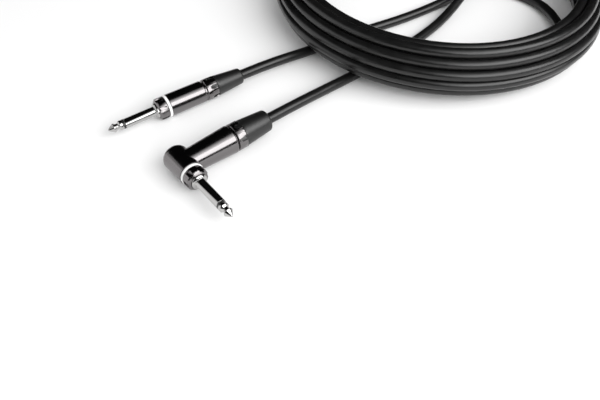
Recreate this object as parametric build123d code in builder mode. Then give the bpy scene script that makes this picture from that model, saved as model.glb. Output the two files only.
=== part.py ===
from build123d import *
import os
from math import atan2, cos, degrees, pi, radians, sin, tan

# Instrument cable: a straight and a right-angle 6.35 mm two-pole jack plug, joined by one
# cable that is wound into a loose coil. Millimetres, +Z up, everything lies on Z = 0, and the
# origin is on the table below the middle of the two plugs.
# A plug is measured along its own axis, from the front face of the contact's hub: towards the
# tip is negative, towards the cable is positive. The right-angle plug's arm is measured from
# the point where its axis meets the contact's axis.

# Contact of both plugs
contact_length = 31.7
contact_radius = 3.175
tip_length = 9.5
tip_head_length = 3.7
tip_head_radius = 2.95
tip_nose_length = 0.5
tip_nose_radius = 0.9
tip_waist_length = 2.4
tip_waist_radius = 2.0
tip_ring_width = 1.4
rod_radius = 1.3
core_wall = 1.0
hub_radius = 5.0
hub_length = 3.2
hub_chamfer = 0.8
flange_radius = 5.7
flange_thickness = 1.2
stem_radius = 4.5
stem_length = 5.6

# Soldering side of the contact
ground_lug_thickness = 0.6
ground_lug_inset = 3.4
tongue_width = 2.8
tongue_thickness = 0.7
lug_washer_radius = 2.8
lug_washer_thickness = 2.2
tip_lug_thickness = 0.7
tip_lug_radius = 2.6
tip_tongue_length = 6.6
solder_radius = 1.6
solder_bed = 0.2

# Front nut and colour ring of both plugs
spigot_radius = 6.0
spigot_wall = 1.4
nut_radius = 7.15
nut_front = 1.5
nut_length = 6.3
nut_lip = 1.55
nut_chamfer = 1.1
nut_notches = 6
notch_width = 3.0
notch_depth = 0.75
notch_length = 5.4
ring_radius = 7.35
ring_width = 1.65

# Barrel of the straight plug
barrel_length = 25.5
barrel_front_radius = 7.3
barrel_rear_radius = 7.15
barrel_bore_radius = 5.9
barrel_step = 0.5

# Housing of the right-angle plug
elbow_reach = 18.4
elbow_radius = 7.7
elbow_back = 12.0
elbow_back_radius = 8.3
elbow_back_round = 4.6
elbow_end_wall = 3.4
arm_length = 34.2
arm_root_radius = 7.45
arm_end_radius = 9.1
arm_bore_radius = 6.2

# Clamp behind each barrel: chuck, gland nut and boot
gland_depth = 7.2
lip_round = 0.9
chuck_flange = 1.8
chuck_length = 8.8
chuck_nose_radius = 4.35
chuck_shoulder = 1.1
chuck_slots = 4
chuck_slot_width = 1.0
gland_groove = 1.1
gland_web = 1.4
gland_wall = 1.15
gland_slots = 6
slot_floor = 0.3
slot_width = 2.8
slot_length = 4.5
boot_length = 20.2
boot_round = 1.4
boot_bore_gap = 0.25
straight_gland_bore = 5.95
straight_gland_length = 7.9
straight_slot_turn = -10.0
straight_gland_radius = 7.15
straight_boot_radii = (6.9, 5.3)
angled_gland_bore = 6.95
angled_gland_length = 6.0
angled_slot_turn = 8.0
angled_gland_radius = 8.8
angled_boot_radii = (8.5, 6.95)

# Insulating liner inside each barrel
liner_wall = 0.5
liner_start = 11.4
liner_gap = 0.4

# Cable: jacket, screen, insulated core and its conductor
cable_radius = 3.5
jacket_wall = 0.85
core_radius = 1.55
conductor_radius = 0.6
pigtail_radius = 0.6
# Where each layer starts: conductor, core insulation, screen, jacket
straight_strip = (14.6, 20.6, 24.0, 26.0)
straight_wire = 16.4
straight_tail = 18.6
angled_strip = (-conductor_radius, 3.0, 9.0, 11.0)
angled_tail = 13.4

# Clearances
seat_gap = 0.03
thread_gap = 0.07
sliding_gap = 0.06
nut_ring_gap = 0.15
turning_gap = 0.12

# Where the plugs lie on the table, and the heading of each cable axis in degrees
straight_place = (-24.9, 23.6)
straight_heading = 34.8
angled_place = (0.3, -25.7)
angled_heading = 39.4

# Coil: an oval of four arcs on a plane that is raised where it lies across the two leads
coil_centre = (175.9, 167.5)
coil_heading = -9.4
coil_long_radius = 127.0
coil_short_radius = 120.0
coil_end_arc_radius = 115.0
coil_lift = 4.1
coil_slope = 0.0312
coil_slope_heading = 230.0
coil_outline = [
    (-18.0, 0.0),
    (3.5, 0.0),
    (7.2, 6.0),
    (7.2, 12.5),
    (4.6, 17.0),
    (1.5, 26.0),
    (-1.8, 30.5),
    (-5.0, 32.0),
    (-12.5, 31.0),
    (-16.0, 28.0),
    (-18.2, 10.0),
]

# Leads between the boots and the coil, after the straight stretch behind each boot
lead_straight = 24.0
straight_lead_route = [
    (73.9, 92.6, 3.7),
    (111.9, 116.4, 3.5),
    (147.9, 134.6, 3.5),
    (177.9, 154.6, 3.5),
    (204.9, 176.1, 3.5),
    (229.8, 178.7, 3.5),
    (252.1, 167.4, 3.5),
    (264.6, 145.7, 4.6),
    (264.0, 109.5, 7.8),
]
angled_lead_route = [
    (89.9, 52.1, 4.2),
    (125.9, 80.6, 3.5),
    (155.9, 107.1, 3.5),
    (179.9, 134.1, 3.8),
    (198.9, 160.1, 9.5),
    (213.9, 184.1, 17.5),
    (225.2, 205.3, 21.5),
    (228.1, 229.1, 24.5),
    (221.9, 252.3, 26.5),
    (205.0, 276.0, 27.5),
]
fillet_share = 0.45

# Worked out from the sizes above
core_bore_radius = rod_radius + core_wall
rear_of_flange = hub_length + flange_thickness
rear_of_stem = rear_of_flange + stem_length
lug_washer_start = rear_of_stem + ground_lug_thickness
tip_lug_start = lug_washer_start + lug_washer_thickness
rod_end = tip_lug_start + tip_lug_thickness
nut_bore_radius = spigot_radius + thread_gap
nut_rear = nut_front + nut_length
ring_front = nut_rear + nut_ring_gap
ring_rear = ring_front + ring_width
body_front = ring_rear + nut_ring_gap
barrel_rear = body_front + barrel_length
straight_gland_rear = barrel_rear + gland_groove + straight_gland_length
angled_gland_rear = arm_length + gland_groove + angled_gland_length
straight_boot_end = straight_gland_rear + boot_length
angled_boot_end = angled_gland_rear + boot_length
spigot_bore_radius = spigot_radius - spigot_wall
braid_radius = cable_radius - jacket_wall
tip_lug_face = -conductor_radius - solder_bed
straight_height = max(ring_radius, barrel_front_radius)
angled_height = max(ring_radius, arm_end_radius)


def heading(angle):
    """Level direction at this angle from +X."""
    return Vector(cos(radians(angle)), sin(radians(angle)), 0)


def axial_plane(origin, along, side):
    """Plane whose X runs along an axis and whose Y points to the chosen side of it."""
    return Plane(origin=origin, x_dir=along, z_dir=along.cross(side))


def cross_plane(plane, station):
    """Plane square to an axial plane's axis, at a station along it."""
    origin = plane.origin + plane.x_dir * station
    return Plane(origin=origin, x_dir=plane.y_dir, z_dir=plane.x_dir)


def axis_of(plane):
    return Axis(plane.origin, plane.x_dir)


def turned(plane, outline, mode=Mode.ADD):
    """Turn a closed outline of (station, radius) points about the plane's axis."""
    with BuildSketch(plane) as profile:
        with BuildLine():
            Polyline(*outline, close=True)
        make_face()
    revolve(profile.sketch, axis=axis_of(plane), mode=mode)


def tube(plane, start, end, outer, inner, mode=Mode.ADD):
    turned(plane, [(start, inner), (start, outer), (end, outer), (end, inner)], mode)


def rod(plane, start, end, radius, mode=Mode.ADD):
    tube(plane, start, end, radius, 0, mode)


def write_piece(piece, name):
    piece.part.label = name
    export_step(piece.part, f"parts/{name}.step")


def make_tip_contact(plug, plane):
    """Tip with its head, waist and collar, in one piece with the rod to the tip lug."""
    apex = -contact_length
    head = apex + tip_head_length
    waist = head + tip_waist_length
    collar = waist + tip_head_radius - tip_waist_radius
    tip_rear = apex + tip_length
    with BuildPart() as tip_contact:
        with BuildSketch(plane) as profile:
            with BuildLine():
                TangentArc(
                    (apex, 0), (apex + tip_nose_length, tip_nose_radius), tangent=(0, 1)
                )
                Polyline(
                    (apex + tip_nose_length, tip_nose_radius),
                    (head, tip_head_radius),
                    (head + tip_nose_length, tip_head_radius),
                    (waist, tip_waist_radius),
                    (collar, contact_radius),
                    (tip_rear, contact_radius),
                    (tip_rear, rod_radius),
                    (rod_end, rod_radius),
                    (rod_end, 0),
                    (apex, 0),
                )
            make_face()
        revolve(profile.sketch, axis=axis_of(plane))
    write_piece(tip_contact, f"{plug}_tip_contact")


def make_contact_insulators(plug, plane):
    """Visible ring behind the tip, tube around the rod, and washer behind the ground lug."""
    ring_start = tip_length - contact_length
    rod_hole = rod_radius + seat_gap
    with BuildPart() as tip_insulator:
        tube(plane, ring_start, ring_start + tip_ring_width, contact_radius, rod_hole)
    write_piece(tip_insulator, f"{plug}_tip_insulator")
    with BuildPart() as core_insulator:
        tube(
            plane,
            ring_start + tip_ring_width,
            rear_of_stem,
            core_bore_radius - seat_gap,
            rod_hole,
        )
    write_piece(core_insulator, f"{plug}_rod_insulator")
    with BuildPart() as lug_washer:
        tube(plane, lug_washer_start, tip_lug_start, lug_washer_radius, rod_hole)
    write_piece(lug_washer, f"{plug}_lug_washer")


def make_contact_sleeve(plug, plane):
    """Earthed sleeve with its hub, the flange that the front nut clamps, and its stem."""
    front = tip_length + tip_ring_width - contact_length
    with BuildPart() as contact_sleeve:
        turned(
            plane,
            [
                (front, core_bore_radius),
                (front, contact_radius),
                (0, contact_radius),
                (0, hub_radius - hub_chamfer),
                (hub_chamfer, hub_radius),
                (hub_length, hub_radius),
                (hub_length, flange_radius),
                (rear_of_flange, flange_radius),
                (rear_of_flange, stem_radius),
                (rear_of_stem, stem_radius),
                (rear_of_stem, core_bore_radius),
            ],
        )
    write_piece(contact_sleeve, f"{plug}_contact_sleeve")


def make_lugs(plug, plane, ground_tongue_end):
    """Two solder lugs: an eye on the contact, and a tongue that runs along it."""
    with BuildPart() as ground_lug:
        tube(
            plane,
            rear_of_stem,
            lug_washer_start,
            stem_radius - seat_gap,
            core_bore_radius,
        )
        with BuildSketch(cross_plane(plane, rear_of_stem)) as tongue:
            with Locations((ground_lug_inset + tongue_thickness / 2, 0)):
                Rectangle(tongue_thickness, tongue_width)
        extrude(tongue.sketch, amount=ground_tongue_end - rear_of_stem)
    write_piece(ground_lug, f"{plug}_ground_lug")
    with BuildPart() as tip_lug:
        tube(plane, tip_lug_start, rod_end, tip_lug_radius, rod_radius + seat_gap)
        with BuildSketch(cross_plane(plane, rod_end)) as tongue:
            with Locations((tip_lug_face - tongue_thickness / 2, 0)):
                Rectangle(tongue_thickness, tongue_width)
        extrude(tongue.sketch, amount=tip_tongue_length)
    write_piece(tip_lug, f"{plug}_tip_lug")


def make_front_nut(plug, plane):
    """Notched cap nut that clamps the contact's flange, and the colour ring behind it."""
    opening = hub_radius + thread_gap * 2
    with BuildPart() as front_nut:
        turned(
            plane,
            [
                (nut_front, opening),
                (nut_front, nut_radius - nut_chamfer),
                (nut_front + nut_chamfer, nut_radius),
                (nut_rear, nut_radius),
                (nut_rear, nut_bore_radius),
                (nut_front + nut_lip, nut_bore_radius),
                (nut_front + nut_lip, opening),
            ],
        )
        with BuildSketch(cross_plane(plane, nut_front)) as notches:
            with PolarLocations(nut_radius, nut_notches):
                Rectangle(notch_depth * 2, notch_width)
        extrude(notches.sketch, amount=notch_length, mode=Mode.SUBTRACT)
    write_piece(front_nut, f"{plug}_front_nut")
    with BuildPart() as colour_ring:
        tube(
            plane, ring_front, ring_rear, ring_radius, spigot_radius + sliding_gap
        )
        chamfer(colour_ring.edges().filter_by(GeomType.CIRCLE).sort_by(SortBy.RADIUS)[-2:], 0.25)
    write_piece(colour_ring, f"{plug}_colour_ring")


def make_straight_barrel(plane):
    """Turned barrel with the front nut's threaded spigot and a rounded rear lip."""
    seat = barrel_rear - gland_depth - lip_round
    with BuildPart() as barrel:
        turned(
            plane,
            [
                (rear_of_flange, spigot_bore_radius),
                (rear_of_flange, spigot_radius),
                (body_front, spigot_radius),
                (body_front, barrel_front_radius),
                (barrel_rear, barrel_rear_radius),
                (barrel_rear, straight_gland_bore),
                (seat, straight_gland_bore),
                (seat, barrel_bore_radius),
                (body_front + barrel_step, barrel_bore_radius),
                (body_front + barrel_step, spigot_bore_radius),
            ],
        )
        rear_rims = barrel.edges().filter_by(GeomType.CIRCLE)
        rear_rims = rear_rims.sort_by(axis_of(plane)).group_by(axis_of(plane))[-1]
        fillet(rear_rims.sort_by(SortBy.RADIUS)[-1], lip_round)
    write_piece(barrel, "straight_barrel")


def make_elbow_housing(insert_plane, arm_plane):
    """Cast elbow: a round-backed body on the contact's axis and a widening arm."""
    back = elbow_reach + elbow_back
    with BuildPart() as elbow:
        turned(
            arm_plane,
            [
                (0, 0),
                (0, arm_root_radius),
                (arm_length, arm_end_radius),
                (arm_length, 0),
            ],
        )
        rim = elbow.edges().filter_by(GeomType.CIRCLE).sort_by(axis_of(arm_plane))[-1]
        fillet(rim, lip_round)
        with BuildSketch(insert_plane) as body:
            with BuildLine():
                Polyline(
                    (back - elbow_back_round, elbow_back_radius),
                    (body_front, elbow_radius),
                    (body_front, 0),
                    (back, 0),
                    (back, elbow_back_radius - elbow_back_round),
                )
                TangentArc(
                    (back - elbow_back_round, elbow_back_radius),
                    (back, elbow_back_radius - elbow_back_round),
                    tangent=(1, 0),
                )
            make_face()
        revolve(body.sketch, axis=axis_of(insert_plane))
        # The nut and its ring pass in front of the body, so the arm stops behind them.
        rod(insert_plane, 0, body_front, elbow_radius + sliding_gap, mode=Mode.SUBTRACT)
        rod(insert_plane, rear_of_flange, body_front, spigot_radius)
        rod(insert_plane, rear_of_flange, body_front, spigot_bore_radius, mode=Mode.SUBTRACT)
        rod(
            insert_plane,
            body_front,
            body_front + barrel_step,
            spigot_bore_radius,
            mode=Mode.SUBTRACT,
        )
        rod(
            insert_plane,
            body_front + barrel_step,
            back - elbow_end_wall,
            barrel_bore_radius,
            mode=Mode.SUBTRACT,
        )
        rod(arm_plane, 0, arm_length, arm_bore_radius, mode=Mode.SUBTRACT)
        rod(
            arm_plane,
            arm_length - gland_depth - lip_round,
            arm_length,
            angled_gland_bore,
            mode=Mode.SUBTRACT,
        )
    write_piece(elbow, "angled_elbow_housing")


def make_liner(plug, plane, rear_end, bore_radius):
    outer = bore_radius - sliding_gap
    end = rear_end - gland_depth - lip_round - liner_gap
    with BuildPart() as liner:
        tube(plane, liner_start, end, outer, outer - liner_wall)
    write_piece(liner, f"{plug}_liner")


def slot_planes(plane, station, count, first):
    """Planes on an axis that look straight out from it, spread evenly from a first angle."""
    for index in range(count):
        turn = radians(first) + 2 * pi * index / count
        outward = plane.y_dir * cos(turn) + plane.z_dir * sin(turn)
        origin = plane.origin + plane.x_dir * station
        yield Plane(origin=origin, x_dir=plane.x_dir, z_dir=outward)


def gland_slot_blocks(plane, rear, slot_turn, width, inner, outer, mode):
    """Blocks that fill a gland nut's slots: open at the rear, round at the front."""
    for slot in slot_planes(plane, rear, gland_slots, slot_turn):
        with BuildSketch(slot.offset(inner)) as shape:
            with Locations((width / 2 - slot_length, 0)):
                Circle(width / 2)
            with Locations(((width / 2 - slot_length) / 2, 0)):
                Rectangle(slot_length - width / 2, width)
        extrude(shape.sketch, amount=outer - inner, mode=mode)


def make_gland(plug, plane, rear_end, rear, slot_turn, bore, nut_outer, boot_radii):
    """Chuck that grips the jacket, the nut that closes it, and the moulded boot."""
    gland_seat = rear_end - gland_depth
    jaw_start = gland_seat + chuck_flange
    jaw_end = gland_seat + chuck_length
    jaw_radius = bore - chuck_shoulder
    chuck_bore = cable_radius + sliding_gap
    with BuildPart() as chuck:
        turned(
            plane,
            [
                (gland_seat, chuck_bore),
                (gland_seat, bore - turning_gap),
                (jaw_start, bore - turning_gap),
                (jaw_start, jaw_radius),
                (jaw_end, chuck_nose_radius),
                (jaw_end, chuck_bore),
            ],
        )
        for slot in slot_planes(plane, jaw_start, chuck_slots, 0):
            with BuildSketch(slot) as cut:
                with Locations((chuck_length / 2, 0)):
                    Rectangle(chuck_length, chuck_slot_width)
            extrude(cut.sketch, amount=bore, mode=Mode.SUBTRACT)
    write_piece(chuck, f"{plug}_chuck")

    gland_start = jaw_start + turning_gap
    face = rear_end + gland_groove
    seat_radius = nut_outer - gland_wall
    web_front = jaw_end + turning_gap
    web_rear = web_front + gland_web
    slot_bottom = seat_radius - slot_floor
    with BuildPart() as gland_nut:
        turned(
            plane,
            [
                (gland_start, jaw_radius + turning_gap),
                (gland_start, bore - thread_gap),
                (face, bore - thread_gap),
                (face, nut_outer),
                (rear, nut_outer),
                (rear, seat_radius),
                (web_rear, seat_radius),
                (web_rear, cable_radius + boot_bore_gap),
                (web_front, cable_radius + boot_bore_gap),
                (web_front, chuck_nose_radius + turning_gap),
            ],
        )
        rims = gland_nut.edges().filter_by(GeomType.CIRCLE).filter_by(
            lambda edge: abs(edge.radius - nut_outer) < seat_gap
        )
        chamfer(rims, 0.3)
        gland_slot_blocks(
            plane, rear, slot_turn, slot_width, slot_bottom, nut_outer + 1, Mode.SUBTRACT
        )
    write_piece(gland_nut, f"{plug}_gland_nut")

    boot_inner = cable_radius + boot_bore_gap
    boot_end = rear + boot_length
    boot_front, boot_rear = boot_radii
    with BuildPart() as boot:
        turned(
            plane,
            [
                (web_rear + seat_gap, boot_inner),
                (web_rear + seat_gap, seat_radius - seat_gap),
                (rear + seat_gap, seat_radius - seat_gap),
                (rear + seat_gap, boot_front),
                (boot_end, boot_rear),
                (boot_end, boot_inner),
            ],
        )
        end_rims = boot.edges().filter_by(GeomType.CIRCLE).group_by(axis_of(plane))[-1]
        fillet(end_rims.sort_by(SortBy.RADIUS)[-1], boot_round)
        gland_slot_blocks(
            plane,
            rear + seat_gap * 2,
            slot_turn,
            slot_width - seat_gap * 2,
            slot_bottom + seat_gap,
            nut_outer - turning_gap,
            Mode.ADD,
        )
    write_piece(boot, f"{plug}_boot")


def make_cable_end(plug, plane, boot_end, starts, tail_end):
    """Stripped end of the cable, layer by layer, and the screen twisted to its lug."""
    bare, core_start, braid_start, jacket_start = starts
    with BuildPart() as jacket:
        tube(plane, jacket_start, boot_end, cable_radius, braid_radius + seat_gap)
    write_piece(jacket, f"{plug}_cable_jacket")
    screen_middle = (braid_radius + core_radius) / 2
    with BuildPart() as braid:
        tube(plane, braid_start, boot_end, braid_radius, core_radius + seat_gap)
        tail_root = plane.from_local_coords((braid_start + pigtail_radius, screen_middle, 0))
        tail_tip = plane.from_local_coords((*tail_end, 0))
        tail = tail_tip - tail_root
        with BuildSketch(Plane(origin=tail_root, z_dir=tail)) as strand:
            Circle(pigtail_radius)
        extrude(strand.sketch, amount=tail.length)
        rod(plane, core_start, boot_end, core_radius + seat_gap, mode=Mode.SUBTRACT)
    write_piece(braid, f"{plug}_screen")
    with BuildPart() as core:
        tube(plane, core_start, boot_end, core_radius, conductor_radius + seat_gap)
    write_piece(core, f"{plug}_core_insulation")
    with BuildPart() as conductor:
        rod(plane, bare, boot_end, conductor_radius)
    write_piece(conductor, f"{plug}_conductor")
    return conductor.part, braid.part


def make_solder(name, plane, place, outward, wire):
    """Solder dome on a lug's face, around the wire that it holds."""
    centre = plane.from_local_coords((*place, 0))
    with BuildPart() as solder:
        with Locations(centre):
            Sphere(solder_radius)
        split(bisect_by=Plane(origin=centre, z_dir=outward), keep=Keep.TOP)
        add(wire, mode=Mode.SUBTRACT)
    write_piece(solder, name)


def make_coil():
    """Outer shape of the wound cable, as one ring."""
    across = heading(coil_slope_heading)
    up = Vector(-coil_slope * across.X, -coil_slope * across.Y, 1)
    base = Plane(
        origin=(*coil_centre, coil_lift), x_dir=heading(coil_heading), z_dir=up
    )
    long_side = coil_long_radius**2 + coil_short_radius**2
    ends = 2 * coil_long_radius * coil_end_arc_radius
    side_radius = (long_side - ends) / (2 * (coil_short_radius - coil_end_arc_radius))
    end_offset = coil_long_radius - coil_end_arc_radius
    side_offset = side_radius - coil_short_radius
    joint = degrees(atan2(end_offset, side_offset))
    end_sweep = 180 - 2 * joint
    with BuildLine(base) as oval:
        CenterArc((-side_offset, 0), side_radius, 0, joint)
        CenterArc((0, end_offset), coil_end_arc_radius, joint, end_sweep)
        CenterArc((side_offset, 0), side_radius, 180 - joint, 2 * joint)
        CenterArc((0, -end_offset), coil_end_arc_radius, 180 + joint, end_sweep)
        CenterArc((-side_offset, 0), side_radius, -joint, joint)
    with BuildPart() as coil:
        start = base.from_local_coords((coil_short_radius, 0, 0))
        with BuildSketch(Plane(origin=start, x_dir=base.x_dir, z_dir=-base.y_dir)) as section:
            with BuildLine():
                Polyline(*coil_outline, close=True)
            make_face()
        sweep(section.sketch, path=oval.wire())
    write_piece(coil, "cable_coil")
    return coil.part


def corner_radii(points):
    """Largest arc that the two runs beside each corner allow."""
    radii = []
    for before, corner, after in zip(points, points[1:], points[2:]):
        run_in = corner - before
        run_out = after - corner
        turn = radians(run_in.get_angle(run_out))
        radii.append(fillet_share * min(run_in.length, run_out.length) / tan(turn / 2))
    return radii


def make_lead(name, plane, boot_end, route, coil):
    """Cable from a boot's end face, along the table, to where the coil takes it in."""
    start = plane.origin + plane.x_dir * boot_end
    points = [start, start + plane.x_dir * lead_straight]
    points += [Vector(*point) for point in route]
    radii = corner_radii(points)
    with BuildLine() as path:
        FilletPolyline(*points, radius=radii)
    with BuildPart() as lead:
        with BuildSketch(cross_plane(plane, boot_end)) as section:
            Circle(cable_radius)
        sweep(section.sketch, path=path.wire())
        swept = lead.part.volume / (pi * cable_radius**2)
        add(coil, mode=Mode.SUBTRACT)
    print(name, "length", round(path.wire().length, 1), "by volume", round(swept, 1))
    print(name, "radii", [round(radius) for radius in radii])
    write_piece(lead, name)


os.makedirs("parts", exist_ok=True)

straight_axis = heading(straight_heading)
straight = axial_plane(Vector(*straight_place, straight_height), straight_axis, Vector(0, 0, 1))

arm_axis = heading(angled_heading)
contact_axis = heading(angled_heading + 90)
elbow_centre = Vector(*angled_place, angled_height)
arm = axial_plane(elbow_centre, arm_axis, Vector(0, 0, 1))
insert = axial_plane(elbow_centre - contact_axis * elbow_reach, contact_axis, arm_axis)

ground_tongue_ends = {"straight": 20.5, "angled": 15.0}
for plug, plane in (("straight", straight), ("angled", insert)):
    make_tip_contact(plug, plane)
    make_contact_insulators(plug, plane)
    make_contact_sleeve(plug, plane)
    make_lugs(plug, plane, ground_tongue_ends[plug])
    make_front_nut(plug, plane)

make_straight_barrel(straight)
make_elbow_housing(insert, arm)
make_liner("straight", straight, barrel_rear, barrel_bore_radius)
make_liner("angled", arm, arm_length, arm_bore_radius)
make_gland(
    "straight",
    straight,
    barrel_rear,
    straight_gland_rear,
    straight_slot_turn,
    straight_gland_bore,
    straight_gland_radius,
    straight_boot_radii,
)
make_gland(
    "angled",
    arm,
    arm_length,
    angled_gland_rear,
    angled_slot_turn,
    angled_gland_bore,
    angled_gland_radius,
    angled_boot_radii,
)

# The wires meet the straight plug's lugs along the contact, and the other's from the side.
lug_side = axial_plane(elbow_centre, arm_axis, -contact_axis)
tongue_top = ground_lug_inset + tongue_thickness
tail_place = ground_lug_inset - pigtail_radius - solder_bed
wire, screen = make_cable_end(
    "straight", straight, straight_boot_end, straight_strip, (straight_tail, tail_place)
)
make_solder(
    "straight_tip_solder", straight, (straight_wire, tip_lug_face), straight.y_dir, wire
)
make_solder(
    "straight_ground_solder",
    straight,
    (straight_tail, ground_lug_inset),
    -straight.y_dir,
    screen,
)
tail_side = elbow_reach - angled_tail
wire, screen = make_cable_end(
    "angled",
    lug_side,
    angled_boot_end,
    angled_strip,
    (tongue_top + pigtail_radius, tail_side),
)
make_solder("angled_tip_solder", lug_side, (tip_lug_face, 0), arm_axis, wire)
make_solder("angled_ground_solder", lug_side, (tongue_top, tail_side), arm_axis, screen)

coil = make_coil()
make_lead("straight_lead", straight, straight_boot_end, straight_lead_route, coil)
make_lead("angled_lead", arm, angled_boot_end, angled_lead_route, coil)
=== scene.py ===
import math

import bmesh
import bpy
from mathutils import Matrix, Vector


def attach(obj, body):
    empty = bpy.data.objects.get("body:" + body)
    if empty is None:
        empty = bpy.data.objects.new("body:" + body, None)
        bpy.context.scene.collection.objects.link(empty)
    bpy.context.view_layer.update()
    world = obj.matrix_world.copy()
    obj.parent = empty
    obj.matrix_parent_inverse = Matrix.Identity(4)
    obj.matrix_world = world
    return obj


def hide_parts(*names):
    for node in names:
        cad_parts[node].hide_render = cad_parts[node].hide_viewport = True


# Instrument cable: two jack plugs and one coiled cable. Lengths are written in millimetres and
# multiplied by MM. A plug is measured along its own axis from the front face of its hub:
# towards the tip is negative. The right-angle plug's arm is measured from the elbow's centre.
MM = 0.001

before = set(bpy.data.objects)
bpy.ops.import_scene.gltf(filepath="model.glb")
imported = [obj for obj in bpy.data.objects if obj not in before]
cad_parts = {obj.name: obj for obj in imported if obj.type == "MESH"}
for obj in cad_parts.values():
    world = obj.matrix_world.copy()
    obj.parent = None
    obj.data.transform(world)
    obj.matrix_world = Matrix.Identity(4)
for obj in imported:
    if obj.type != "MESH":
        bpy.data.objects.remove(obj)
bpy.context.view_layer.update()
scene = bpy.context.scene
scene.view_settings.view_transform = "Standard"


def heading(angle):
    """Level direction at this angle from +X."""
    return Vector((math.cos(math.radians(angle)), math.sin(math.radians(angle)), 0))


# Camera, tilted up from looking straight down
CAMERA_LENS = 34.52
CAMERA_SENSOR = 36
CAMERA_PLACE = Vector((68.9, -258.9, 254.8))
CAMERA_TILT = 40
camera_data = bpy.data.cameras.new("camera")
camera_data.lens = CAMERA_LENS
camera_data.sensor_width = CAMERA_SENSOR
camera = bpy.data.objects.new("camera", camera_data)
camera.location = CAMERA_PLACE * MM
camera.rotation_euler = (math.radians(CAMERA_TILT), 0, 0)
scene.collection.objects.link(camera)
scene.camera = camera

# Where the plugs lie
UP = Vector((0, 0, 1))
CONTACT_LENGTH = 31.7
STRAIGHT_AXIS = heading(34.8)
STRAIGHT_ORIGIN = Vector((-24.9, 23.6, 7.35))
ARM_AXIS = heading(39.4)
ELBOW_REACH = 18.4
ELBOW_CENTRE = Vector((0.3, -25.7, 9.1))
INSERT_AXIS = heading(129.4)
INSERT_ORIGIN = ELBOW_CENTRE - INSERT_AXIS * ELBOW_REACH
STRAIGHT_BOOT_END = 64.45
ARM_BOOT_END = 61.5

# Cable
CABLE_RADIUS = 3.5
LEAD_STRAIGHT = 24.0
STRAIGHT_ROUTE = [
    (73.9, 92.6, 3.7),
    (111.9, 116.4, 3.5),
    (147.9, 134.6, 3.5),
    (177.9, 154.6, 3.5),
    (204.9, 176.1, 3.5),
    (229.8, 178.7, 3.5),
    (252.1, 167.4, 3.5),
    (264.6, 145.7, 4.6),
    (264.0, 109.5, 7.8),
]
ANGLED_ROUTE = [
    (89.9, 52.1, 4.2),
    (125.9, 80.6, 3.5),
    (155.9, 107.1, 3.5),
    (179.9, 134.1, 3.8),
    (198.9, 160.1, 9.5),
    (213.9, 184.1, 17.5),
    (225.2, 205.3, 21.5),
    (228.1, 229.1, 24.5),
    (221.9, 252.3, 26.5),
    (205.0, 276.0, 27.5),
]
# Coil: an oval on a plane that is raised where it lies across the two leads. Each strand is an
# offset outwards from the oval and a height, in the order in which the turns are laid.
COIL_CENTRE = Vector((175.9, 167.5, 0))
COIL_HEADING = -9.4
COIL_SHORT = 120.0
COIL_LONG = 127.0
COIL_LIFT = 4.1
COIL_SLOPE = 0.0312
COIL_SLOPE_AXIS = heading(230)
STRANDS = [
    (-14.2, 3.5),
    (-7.1, 3.5),
    (0.0, 3.5),
    (3.4, 9.6),
    (-3.7, 9.6),
    (-10.8, 9.6),
    (-4.6, 16.4),
    (2.6, 16.4),
    (-1.0, 22.4),
    (-8.1, 22.2),
    (-4.8, 28.3),
    (-12.2, 27.4),
]
POINTS_PER_TURN = 30
FIRST_TURN_ANGLE = 47.0
LAST_TURN_ANGLE = 4236.0
# Zone behind the view where one strand passes into the next, later turns first
CHANGE_START = 210.0
CHANGE_LENGTH = 34.0
CHANGE_STEP = 9.5
WANDER = 0.7


def smooth(t):
    t = min(max(t, 0), 1)
    return t * t * (3 - 2 * t)


def strand_at(turned):
    """Offset and height of the cable after this many degrees around the coil."""
    number = 0
    part = 0.0
    for index in range(len(STRANDS) - 1):
        start = CHANGE_START + 360 * index + CHANGE_STEP * (len(STRANDS) - 2 - index)
        if turned > start:
            number = index
            part = smooth((turned - start) / CHANGE_LENGTH)
    (u0, z0), (u1, z1) = STRANDS[number], STRANDS[number + 1]
    wave = math.radians(turned)
    wander = WANDER * math.sin(0.73 * wave + 1.3) * math.sin(0.31 * wave)
    return u0 + (u1 - u0) * part + wander, z0 + (z1 - z0) * part


def coil_point(turned):
    """Point of the cable's line after this many degrees, clockwise from +X."""
    offset, height = strand_at(turned)
    angle = math.radians(-turned)
    beside = angle - math.radians(COIL_HEADING)
    oval = COIL_SHORT * COIL_LONG
    oval /= math.hypot(COIL_LONG * math.cos(beside), COIL_SHORT * math.sin(beside))
    step = math.radians(360 / POINTS_PER_TURN)
    # The spline runs inside its control points by this much.
    radius = (oval + offset) / (0.75 + 0.25 * math.cos(step))
    point = COIL_CENTRE + Vector((math.cos(angle), math.sin(angle), 0)) * radius
    lift = COIL_LIFT + COIL_SLOPE * (point - COIL_CENTRE).dot(COIL_SLOPE_AXIS)
    point.z = height + lift
    return point


def cable_route():
    straight_exit = STRAIGHT_ORIGIN + STRAIGHT_AXIS * STRAIGHT_BOOT_END
    angled_exit = ELBOW_CENTRE + ARM_AXIS * ARM_BOOT_END
    points = [straight_exit, straight_exit + STRAIGHT_AXIS * LEAD_STRAIGHT]
    points += [Vector(point) for point in STRAIGHT_ROUTE]
    step = 360 / POINTS_PER_TURN
    turns = round((LAST_TURN_ANGLE - FIRST_TURN_ANGLE) / step)
    points += [coil_point(FIRST_TURN_ANGLE + index * step) for index in range(turns + 1)]
    points += [Vector(point) for point in reversed(ANGLED_ROUTE)]
    points += [angled_exit + ARM_AXIS * LEAD_STRAIGHT, angled_exit]
    return points


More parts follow.
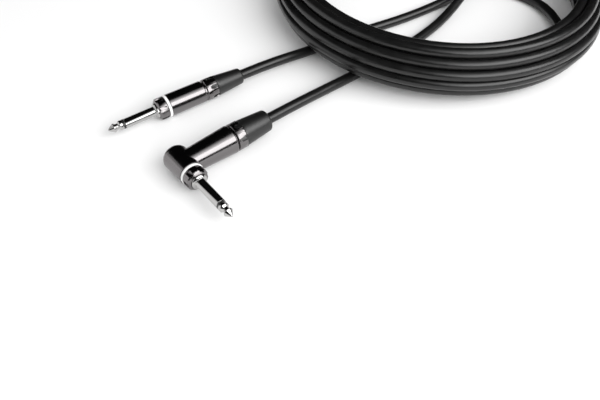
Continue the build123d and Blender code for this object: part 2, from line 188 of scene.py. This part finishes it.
def make_cable(name, points, radius):
    curve = bpy.data.curves.new(name, "CURVE")
    curve.dimensions = "3D"
    curve.twist_mode = "Z_UP"
    # Each point carries the tube's radius, which also keeps the curve's bounds true.
    curve.bevel_depth = 1.0
    curve.bevel_resolution = 8
    curve.resolution_u = 3
    curve.use_fill_caps = True
    spline = curve.splines.new("NURBS")
    spline.points.add(len(points) - 1)
    for place, point in zip(spline.points, points):
        place.co = (*(point * MM), 1)
        place.radius = radius * MM
    spline.order_u = 3
    spline.use_endpoint_u = True
    cable = bpy.data.objects.new(name, curve)
    scene.collection.objects.link(cable)
    return cable


route = cable_route()
cable = make_cable("cable", route, CABLE_RADIUS)
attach(cable, "root")
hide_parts("straight_lead", "angled_lead", "cable_coil")


# Materials
def new_material(name, color, roughness, metallic=0.0):
    """Principled material, and its nodes for the procedural detail."""
    material = bpy.data.materials.new(name)
    material.use_nodes = True
    shader = material.node_tree.nodes["Principled BSDF"]
    shader.inputs["Base Color"].default_value = (*color, 1)
    shader.inputs["Roughness"].default_value = roughness
    shader.inputs["Metallic"].default_value = metallic
    return material, shader


def noise_of(material, scale, detail=4.0, stretch=(1, 1, 1), turn=0.0):
    """Noise in the part's own coordinates, stretched along an axis at this heading."""
    nodes, links = material.node_tree.nodes, material.node_tree.links
    place = nodes.new("ShaderNodeTexCoord")
    mapping = nodes.new("ShaderNodeMapping")
    mapping.vector_type = "TEXTURE"
    mapping.inputs["Rotation"].default_value = (0, 0, math.radians(turn))
    mapping.inputs["Scale"].default_value = stretch
    noise = nodes.new("ShaderNodeTexNoise")
    noise.inputs["Scale"].default_value = scale
    noise.inputs["Detail"].default_value = detail
    links.new(place.outputs["Object"], mapping.inputs["Vector"])
    links.new(mapping.outputs["Vector"], noise.inputs["Vector"])
    return noise.outputs["Fac"]


def spread(material, source, low, high, socket):
    """Map a 0 to 1 source onto low to high, numbers or colours, and link it to a socket."""
    nodes, links = material.node_tree.nodes, material.node_tree.links
    ramp = nodes.new("ShaderNodeValToRGB")
    ramp.color_ramp.elements[0].position = 0.3
    ramp.color_ramp.elements[1].position = 0.7
    for element, value in zip(ramp.color_ramp.elements, (low, high)):
        rgb = (value, value, value) if isinstance(value, float) else value
        element.color = (*rgb, 1)
    links.new(source, ramp.inputs["Fac"])
    links.new(ramp.outputs["Color"], socket)


def bumped(material, shader, source, distance, strength=1.0):
    nodes, links = material.node_tree.nodes, material.node_tree.links
    bump = nodes.new("ShaderNodeBump")
    bump.inputs["Distance"].default_value = distance * MM
    bump.inputs["Strength"].default_value = strength
    links.new(source, bump.inputs["Height"])
    links.new(bump.outputs["Normal"], shader.inputs["Normal"])


def metal(name, color, turn, low, high, bump=0.004):
    """Plated turned metal: faint lines around the axis at this heading, and soft smears."""
    material, shader = new_material(name, color, (low + high) / 2, metallic=1.0)
    smears = noise_of(material, 180.0)
    spread(material, smears, low, high, shader.inputs["Roughness"])
    lines = noise_of(material, 900.0, 3.0, (0.12, 4.0, 4.0), turn)
    bumped(material, shader, lines, bump, 0.35)
    return material


def plastic(name, dark, light, low, high, scale, bump, sheen=0.5):
    """Moulded plastic or rubber: a fine grain, and colour and gloss that vary a little."""
    middle = tuple((a + b) / 2 for a, b in zip(dark, light))
    material, shader = new_material(name, middle, (low + high) / 2)
    shader.inputs["Specular IOR Level"].default_value = sheen
    patches = noise_of(material, 120.0)
    spread(material, patches, dark, light, shader.inputs["Base Color"])
    spread(material, noise_of(material, 60.0), low, high, shader.inputs["Roughness"])
    bumped(material, shader, noise_of(material, scale, 6.0), bump, 0.5)
    return material


GUNMETAL = (0.195, 0.186, 0.188)
NICKEL = (0.48, 0.476, 0.472)
materials = {
    "straight_shell": metal("straight_shell", GUNMETAL, 34.8, 0.13, 0.18),
    "arm_shell": metal("arm_shell", GUNMETAL, 39.4, 0.14, 0.2),
    "insert_shell": metal("insert_shell", GUNMETAL, 129.4, 0.13, 0.18),
    "straight_contact": metal("straight_contact", NICKEL, 34.8, 0.08, 0.10, 0.0004),
    "insert_contact": metal("insert_contact", NICKEL, 129.4, 0.08, 0.10, 0.0004),
    "lug": metal("lug", (0.66, 0.63, 0.55), 34.8, 0.22, 0.34),
    "solder": metal("solder", (0.62, 0.63, 0.65), 34.8, 0.25, 0.42, 0.02),
    "copper": metal("copper", (0.80, 0.42, 0.26), 39.4, 0.2, 0.35, 0.02),
    "boot": plastic(
        "boot", (0.004, 0.004, 0.004), (0.007, 0.007, 0.007), 0.36, 0.44, 1600.0, 0.01, 0.68
    ),
    "jacket": plastic(
        "jacket", (0.004, 0.004, 0.004), (0.007, 0.007, 0.007), 0.27, 0.34, 1200.0, 0.008, 0.5
    ),
    "insulator": plastic(
        "insulator", (0.010, 0.010, 0.010), (0.02, 0.02, 0.02), 0.3, 0.4, 2000.0, 0.006
    ),
    "ring": plastic(
        "ring", (0.87, 0.87, 0.865), (0.92, 0.92, 0.915), 0.3, 0.38, 1500.0, 0.004
    ),
    "liner": plastic(
        "liner", (0.02, 0.02, 0.022), (0.03, 0.03, 0.033), 0.2, 0.3, 900.0, 0.01
    ),
    "chuck": plastic(
        "chuck", (0.03, 0.03, 0.034), (0.05, 0.05, 0.055), 0.35, 0.5, 1200.0, 0.01
    ),
    "core": plastic(
        "core", (0.78, 0.75, 0.68), (0.85, 0.83, 0.76), 0.35, 0.45, 900.0, 0.006
    ),
}


def dress(piece, material):
    piece.data.materials.clear()
    piece.data.materials.append(materials[material])


dress(cable, "jacket")


# Mesh pieces
def basis(origin, along, side):
    """From (station, side, across) in millimetres to the shared frame in metres."""
    across = along.cross(side)
    turn = Matrix((along, side, across)).transposed().to_4x4()
    return Matrix.Translation(origin * MM) @ turn @ Matrix.Scale(MM, 4)


PLANES = {
    "straight": basis(STRAIGHT_ORIGIN, STRAIGHT_AXIS, UP),
    "insert": basis(INSERT_ORIGIN, INSERT_AXIS, ARM_AXIS),
    "arm": basis(ELBOW_CENTRE, ARM_AXIS, UP),
}


def lathe_mesh(profile, steps=96):
    """Closed profile of (station, radius) turned about the axis. Radius 0 is on the axis."""
    mesh = bmesh.new()
    rings = []
    for station, radius in profile:
        if radius < 1e-6:
            rings.append([mesh.verts.new((station, 0, 0))])
            continue
        ring = []
        for index in range(steps):
            angle = 2 * math.pi * index / steps
            ring.append(
                mesh.verts.new((station, radius * math.cos(angle), radius * math.sin(angle)))
            )
        rings.append(ring)
    for near, far in zip(rings, rings[1:] + rings[:1]):
        if len(near) == 1 and len(far) == 1:
            continue
        for index in range(steps):
            after = (index + 1) % steps
            corners = [near[index % len(near)], near[after % len(near)]]
            corners += [far[after % len(far)], far[index % len(far)]]
            mesh.faces.new(list(dict.fromkeys(corners)))
    bmesh.ops.recalc_face_normals(mesh, faces=mesh.faces)
    return mesh


def to_object(name, mesh):
    data = bpy.data.meshes.new(name)
    mesh.to_mesh(data)
    mesh.free()
    piece = bpy.data.objects.new(name, data)
    scene.collection.objects.link(piece)
    return piece


def finish_mesh(piece, plane, edge, angle=28.0):
    """Round the sharp edges, smooth the rest, and place the piece on its plane."""
    data = piece.data
    data.shade_smooth()
    if edge:
        bevel = piece.modifiers.new("edges", "BEVEL")
        bevel.width = edge
        bevel.segments = 2
        bevel.limit_method = "ANGLE"
        bevel.angle_limit = math.radians(angle)
        bevel.harden_normals = True
        settle(piece)
    piece.data.transform(PLANES[plane])
    piece.data.set_sharp_from_angle(angle=math.radians(35))


def settle(piece):
    """Take up the modifiers into the mesh."""
    graph = bpy.context.evaluated_depsgraph_get()
    data = bpy.data.meshes.new_from_object(piece.evaluated_get(graph))
    piece.modifiers.clear()
    old = piece.data
    piece.data = data
    bpy.data.meshes.remove(old)


def combine(piece, other, operation):
    """Boolean of two pieces: the other one is used up."""
    step = piece.modifiers.new("cut", "BOOLEAN")
    step.object = other
    step.operation = operation
    step.solver = "EXACT"
    settle(piece)
    bpy.data.objects.remove(other)


def block_mesh(blocks):
    """Boxes, each given by its matrix, in one mesh."""
    mesh = bmesh.new()
    for place in blocks:
        bmesh.ops.create_cube(mesh, size=1.0, matrix=place)
    return mesh


def slot_mesh(rear, length, width, inner, outer, first, count, overhang=0.0):
    """Blocks around the axis: open at the rear, round at the front."""
    mesh = bmesh.new()
    for index in range(count):
        turn = Matrix.Rotation(math.radians(first + 360 * index / count), 4, "X")
        outline = [(rear + overhang, -width / 2), (rear + overhang, width / 2)]
        centre = rear - length + width / 2
        for part in range(13):
            angle = math.pi / 2 + math.pi * part / 12
            outline.append(
                (centre + width / 2 * math.cos(angle), width / 2 * math.sin(angle))
            )
        low = [mesh.verts.new(turn @ Vector((x, inner, y))) for x, y in outline]
        high = [mesh.verts.new(turn @ Vector((x, outer, y))) for x, y in outline]
        mesh.faces.new(low)
        mesh.faces.new(high)
        for corner in range(len(outline)):
            after = (corner + 1) % len(outline)
            mesh.faces.new((low[corner], low[after], high[after], high[corner]))
    bmesh.ops.recalc_face_normals(mesh, faces=mesh.faces)
    return mesh


def arc(centre, radius, start, end, count=6):
    """Points of an arc in a profile, angles in degrees from the tip-to-cable direction."""
    points = []
    for index in range(count + 1):
        angle = math.radians(start + (end - start) * index / count)
        points.append(
            (centre[0] + radius * math.cos(angle), centre[1] + radius * math.sin(angle))
        )
    return points


def piece_of(name, mesh, plane, body, node, material, edge):
    piece = to_object(name, mesh)
    finish_mesh(piece, plane, edge)
    claim(piece, body, node, material)
    return piece


def claim(piece, body, node, material):
    dress(piece, material)
    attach(piece, body)
    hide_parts(node)


# Contacts, nuts and rings, the same on both plugs
TIP_REAR = 9.5 - CONTACT_LENGTH
RING_REAR = TIP_REAR + 1.4
CONTACT_RADIUS = 3.175
ROD_RADIUS = 1.3
ROD_END = 13.5
HUB_RADIUS = 5.0
HUB_REAR = 3.2
FLANGE_RADIUS = 5.7
FLANGE_REAR = 4.4
STEM_RADIUS = 4.5
STEM_REAR = 10.0
STEM_BORE = 2.3
SPIGOT_BORE = 4.6
SPIGOT_RADIUS = 6.0
NUT_FRONT = 1.5
NUT_REAR = 7.8
NUT_RADIUS = 7.15
for plug, plane in (("straight", "straight"), ("angled", "insert")):
    apex = -CONTACT_LENGTH
    tip_profile = [(apex, 0)]
    tip_profile += arc((apex + 0.95, 0), 0.95, 170, 118, 5)
    tip_profile += [(apex + 3.3, 2.72)]
    tip_profile += arc((apex + 3.75, 2.25), 0.70, 115, 20, 7)
    tip_profile += arc((apex + 5.95, 3.75), 1.75, 226, 292, 8)
    tip_profile += arc((apex + 7.75, 2.775), 0.4, 130, 90, 4)
    tip_profile += [(TIP_REAR, CONTACT_RADIUS), (TIP_REAR, ROD_RADIUS)]
    tip_profile += [(ROD_END, ROD_RADIUS), (ROD_END, 0)]
    piece_of(
        f"{plug}_tip",
        lathe_mesh(tip_profile),
        plane,
        "root",
        f"{plug}_tip_contact",
        f"{plane}_contact",
        0.08,
    )
    piece_of(
        f"{plug}_tip_ring",
        lathe_mesh([(TIP_REAR, 1.33), (TIP_REAR, 3.1), (RING_REAR, 3.1), (RING_REAR, 1.33)]),
        plane,
        "root",
        f"{plug}_tip_insulator",
        "insulator",
        0.06,
    )
    sleeve_profile = [
        (RING_REAR, STEM_BORE),
        (RING_REAR, CONTACT_RADIUS),
        (-0.45, CONTACT_RADIUS),
        (-0.15, 3.3),
        (0, 3.6),
        (0, 4.2),
        (0.8, HUB_RADIUS),
        (HUB_REAR, HUB_RADIUS),
        (HUB_REAR, FLANGE_RADIUS),
        (FLANGE_REAR, FLANGE_RADIUS),
        (FLANGE_REAR, STEM_RADIUS),
        (STEM_REAR, STEM_RADIUS),
        (STEM_REAR, STEM_BORE),
    ]
    piece_of(
        f"{plug}_sleeve",
        lathe_mesh(sleeve_profile),
        plane,
        "root",
        f"{plug}_contact_sleeve",
        f"{plane}_contact",
        0.12,
    )
    nut_profile = [
        (NUT_FRONT, 5.14),
        (NUT_FRONT, 5.55),
        (NUT_FRONT + 0.35, 5.9),
        (NUT_FRONT + 0.35, 6.15),
        (NUT_FRONT + 1.35, NUT_RADIUS),
        (NUT_REAR - 0.5, NUT_RADIUS),
        (NUT_REAR, NUT_RADIUS - 0.15),
        (NUT_REAR, 6.07),
        (3.05, 6.07),
        (3.05, 5.14),
    ]
    nut = to_object(f"{plug}_nut", lathe_mesh(nut_profile, 120))
    blocks = []
    for index in range(6):
        turn = Matrix.Rotation(math.radians(60 * index), 4, "X")
        place = Matrix.Translation((NUT_FRONT + 2.2, NUT_RADIUS + 0.1, 0))
        size = Matrix.Diagonal((6.4, 1.7, 3.0, 1))
        blocks.append(turn @ place @ size)
    combine(nut, to_object("notches", block_mesh(blocks)), "DIFFERENCE")
    finish_mesh(nut, plane, 0.14)
    claim(nut, f"{plug}_front_nut", f"{plug}_front_nut", f"{plane}_shell")
    piece_of(
        f"{plug}_ring",
        lathe_mesh([(7.95, 6.06), (7.95, 7.35), (9.6, 7.35), (9.6, 6.06)], 120),
        plane,
        f"{plug}_ring_carrier",
        f"{plug}_colour_ring",
        "ring",
        0.22,
    )

# Barrel of the straight plug
BODY_FRONT = 9.75
BARREL_REAR = 35.25
barrel_profile = [
    (FLANGE_REAR, SPIGOT_BORE),
    (FLANGE_REAR, SPIGOT_RADIUS),
    (BODY_FRONT, SPIGOT_RADIUS),
    (BODY_FRONT, 7.15),
    (BODY_FRONT + 0.2, 7.3),
    (BARREL_REAR - 1.5, 7.16),
]
barrel_profile += arc((BARREL_REAR - 0.95, 6.2), 0.95, 85, 0, 7)
barrel_profile += [
    (BARREL_REAR, 5.95),
    (27.15, 5.95),
    (27.15, 5.9),
    (BODY_FRONT + 0.5, 5.9),
    (BODY_FRONT + 0.5, SPIGOT_BORE),
]
piece_of(
    "straight_body",
    lathe_mesh(barrel_profile, 128),
    "straight",
    "root",
    "straight_barrel",
    "straight_shell",
    0.0,
)

# Gland nuts and boots
GROOVE = 1.1
CHUCK_LENGTH = 8.8
GLAND_DEPTH = 7.2
SLOT_LENGTH = 4.5
SLOT_WIDTH = 2.8
BOOT_BORE = 3.75
for plug, plane, rear_end, gland_rear, boot_end, bore, outer, boot_radii, first in (
    ("straight", "straight", BARREL_REAR, 44.25, STRAIGHT_BOOT_END, 5.95, 7.15, (6.9, 5.3), -10),
    ("angled", "arm", 34.2, 41.3, ARM_BOOT_END, 6.95, 8.8, (8.5, 6.95), 8),
):
    jaw_start = rear_end - GLAND_DEPTH + 1.8
    jaw_end = rear_end - GLAND_DEPTH + CHUCK_LENGTH
    jaw_radius = bore - 1.1
    face = rear_end + GROOVE
    seat = outer - 1.15
    web_front = jaw_end + 0.12
    web_rear = web_front + 1.4
    gland_profile = [
        (jaw_start + 0.12, jaw_radius + 0.12),
        (jaw_start + 0.12, bore - 0.07),
        (face - 0.25, bore - 0.07),
        (face, bore + 0.1),
        (face, outer - 0.35),
        (face + 0.35, outer),
        (gland_rear - 0.25, outer),
        (gland_rear, outer - 0.2),
        (gland_rear, seat),
        (web_rear, seat),
        (web_rear, BOOT_BORE),
        (web_front, BOOT_BORE),
        (web_front, 4.47),
    ]
    gland = to_object(f"{plug}_gland", lathe_mesh(gland_profile, 120))
    cutter = slot_mesh(
        gland_rear, SLOT_LENGTH, SLOT_WIDTH, seat - 0.3, outer + 1, first, 6, overhang=0.5
    )
    combine(gland, to_object("slots", cutter), "DIFFERENCE")
    finish_mesh(gland, plane, 0.13)
    claim(gland, f"{plug}_gland", f"{plug}_gland_nut", f"{plane}_shell")

    front, rear = boot_radii
    slope = (rear - front) / (boot_end - gland_rear)
    shoulder = boot_end - 1.5
    boot_profile = [
        (web_rear + 0.03, BOOT_BORE),
        (web_rear + 0.03, seat - 0.03),
        (gland_rear + 0.03, seat - 0.03),
        (gland_rear + 0.03, front - 0.2),
        (gland_rear + 0.25, front),
    ]
    boot_profile += [
        (gland_rear + 2 + 4 * part, front + slope * (2 + 4 * part)) for part in range(4)
    ]
    boot_profile += arc((shoulder, rear - 1.42), 1.5, 84, 0, 8)
    boot_profile += [(boot_end, 4.3)]
    boot_profile += arc((boot_end - 0.5, BOOT_BORE + 0.5), 0.5, 0, -90, 4)
    boot = to_object(f"{plug}_strain_relief", lathe_mesh(boot_profile, 112))
    tabs = slot_mesh(
        gland_rear + 0.1,
        SLOT_LENGTH - 0.05,
        SLOT_WIDTH - 0.2,
        seat - 0.27,
        outer - 0.12,
        first,
        6,
        overhang=0.4,
    )
    combine(boot, to_object("tabs", tabs), "UNION")
    finish_mesh(boot, plane, 0.1, 32)
    claim(boot, f"{plug}_gland", f"{plug}_boot", "boot")

# The CAD pieces that keep their own shape
CAD_MATERIALS = {
    "elbow_housing": "arm_shell",
    "rod_insulator": "insulator",
    "lug_washer": "insulator",
    "ground_lug": "lug",
    "tip_lug": "lug",
    "liner": "liner",
    "chuck": "chuck",
    "cable_jacket": "jacket",
    "screen": "copper",
    "core_insulation": "core",
    "conductor": "copper",
    "tip_solder": "solder",
    "ground_solder": "solder",
}
for plug in ("straight", "angled"):
    for part, material in CAD_MATERIALS.items():
        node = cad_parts.get(f"{plug}_{part}")
        if node:
            for slot in node.material_slots:
                slot.material = materials[material]

# Floor and light, in metres
FLOOR_HALF = 6.0
LIGHT_DISTANCE = 1.5
WORLD_FILL = 0.5
WORLD_REFLECTED = 0.006
floor_mesh = bmesh.new()
bmesh.ops.create_grid(floor_mesh, x_segments=1, y_segments=1, size=FLOOR_HALF)
floor = to_object("floor", floor_mesh)
floor_material, floor_shader = new_material("floor", (0.9, 0.9, 0.9), 0.9)
floor_shader.inputs["Specular IOR Level"].default_value = 0.0
floor.data.materials.append(floor_material)


def soft_light(name, azimuth, elevation, width, height, radiance):
    """Soft box that faces the plugs from this direction."""
    data = bpy.data.lights.new(name, "AREA")
    data.shape = "RECTANGLE"
    data.size = width
    data.size_y = height
    data.energy = radiance * math.pi * width * height
    light = bpy.data.objects.new(name, data)
    level = heading(azimuth) * math.cos(math.radians(elevation))
    place = (level + UP * math.sin(math.radians(elevation))) * LIGHT_DISTANCE
    light.location = place
    light.rotation_euler = place.to_track_quat("Z", "Y").to_euler()
    scene.collection.objects.link(light)


soft_light("key", -33, 32, 1.9, 0.76, 5.0)
soft_light("key_upper", -33, 50, 1.9, 0.28, 3.4)
soft_light("key_top", -33, 61, 1.9, 0.28, 1.7)
soft_light("key_fade", -33, 71, 1.9, 0.26, 0.7)
soft_light("side", 188, 12, 1.8, 0.64, 1.15)
soft_light("side_upper", 188, 31, 1.8, 0.36, 0.6)

world = bpy.data.worlds.new("studio")
scene.world = world
world.use_nodes = True
nodes, links = world.node_tree.nodes, world.node_tree.links
background = nodes["Background"]
rays = nodes.new("ShaderNodeLightPath")
shade = nodes.new("ShaderNodeMix")
shade.data_type = "FLOAT"
shade.inputs["A"].default_value = WORLD_FILL
shade.inputs["B"].default_value = WORLD_REFLECTED
links.new(rays.outputs["Is Glossy Ray"], shade.inputs["Factor"])
links.new(shade.outputs["Result"], background.inputs["Strength"])
background.inputs["Color"].default_value = (1, 1, 1, 1)
